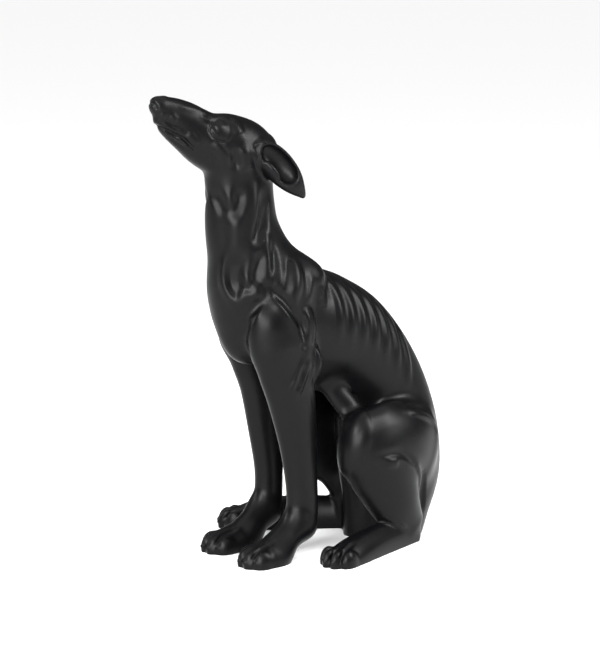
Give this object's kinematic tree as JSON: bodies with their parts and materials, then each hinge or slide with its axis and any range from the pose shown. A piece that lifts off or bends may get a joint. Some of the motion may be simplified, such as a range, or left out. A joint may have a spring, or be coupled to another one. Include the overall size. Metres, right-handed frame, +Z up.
{
  "type": "seated greyhound statue",
  "caption": "Slender seated sighthound with raised head, folded-back ears and carved muscles, cast as one satin black piece that stands on its paws and seat.",
  "frame": {"origin": "on the floor, in the middle of the figure's plan", "axes": "+Z up; the dog looks along -Y, so its left side is towards +X and its rump towards +Y"},
  "size_m": [0.373, 0.5808, 0.7899],
  "materials": {
    "black_resin": "satin black paint over cast polyresin"
  },
  "bodies": {
    "root": {"greyhound": "black_resin"}
  },
  "joints": []
}
